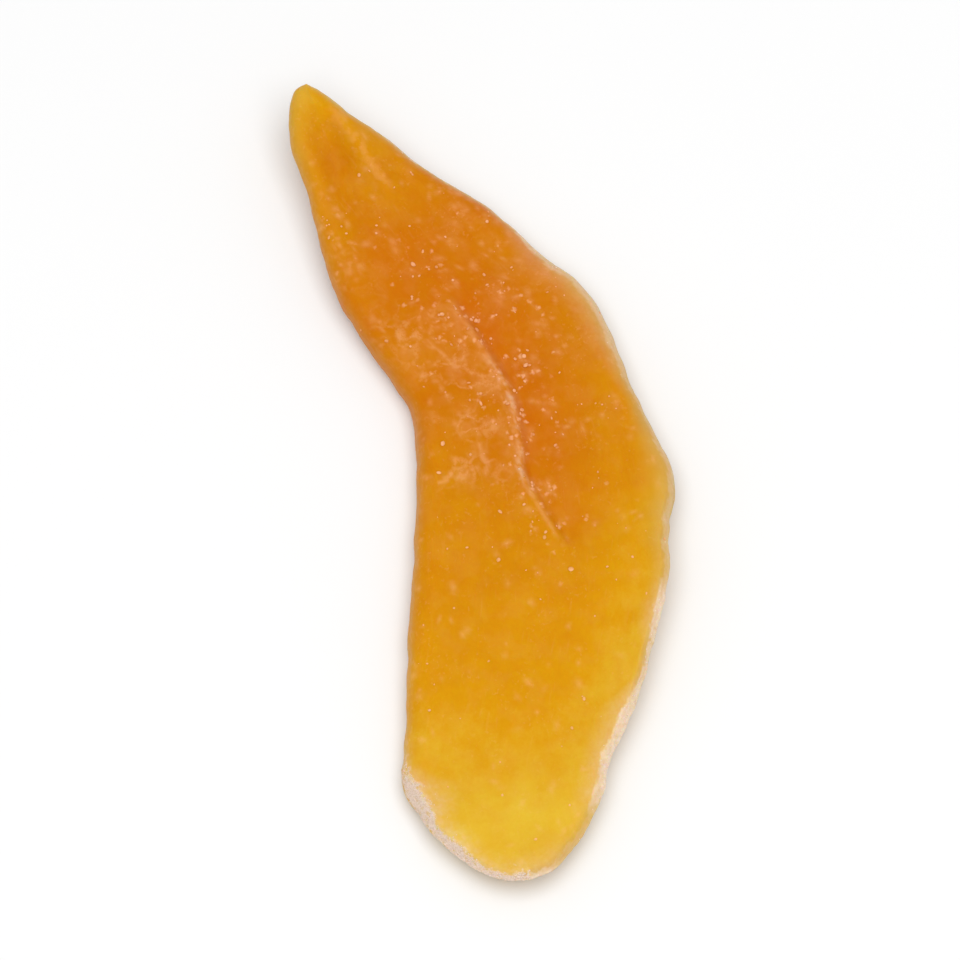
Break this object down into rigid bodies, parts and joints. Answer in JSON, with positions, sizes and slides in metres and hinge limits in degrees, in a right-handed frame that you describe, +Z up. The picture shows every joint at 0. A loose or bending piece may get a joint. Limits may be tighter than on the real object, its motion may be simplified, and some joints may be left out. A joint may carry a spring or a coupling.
{
  "type": "dried mango slice",
  "caption": "Lengthwise slice of dried mango: a bowed, flat tongue of orange to yellow flesh with a narrow curled tip, a blunt end and sugar-frosted cut edges.",
  "frame": {"origin": "on the table, under the middle of the slice's bounding box", "axes": "+Y along the slice towards its narrow stem end, +Z up out of the shown face, +X towards the bulging cut edge"},
  "size_m": [0.0407, 0.1032, 0.0093],
  "materials": {
    "mango_flesh": "satin"
  },
  "bodies": {
    "root": {"mango_slice": "mango_flesh"}
  },
  "joints": []
}
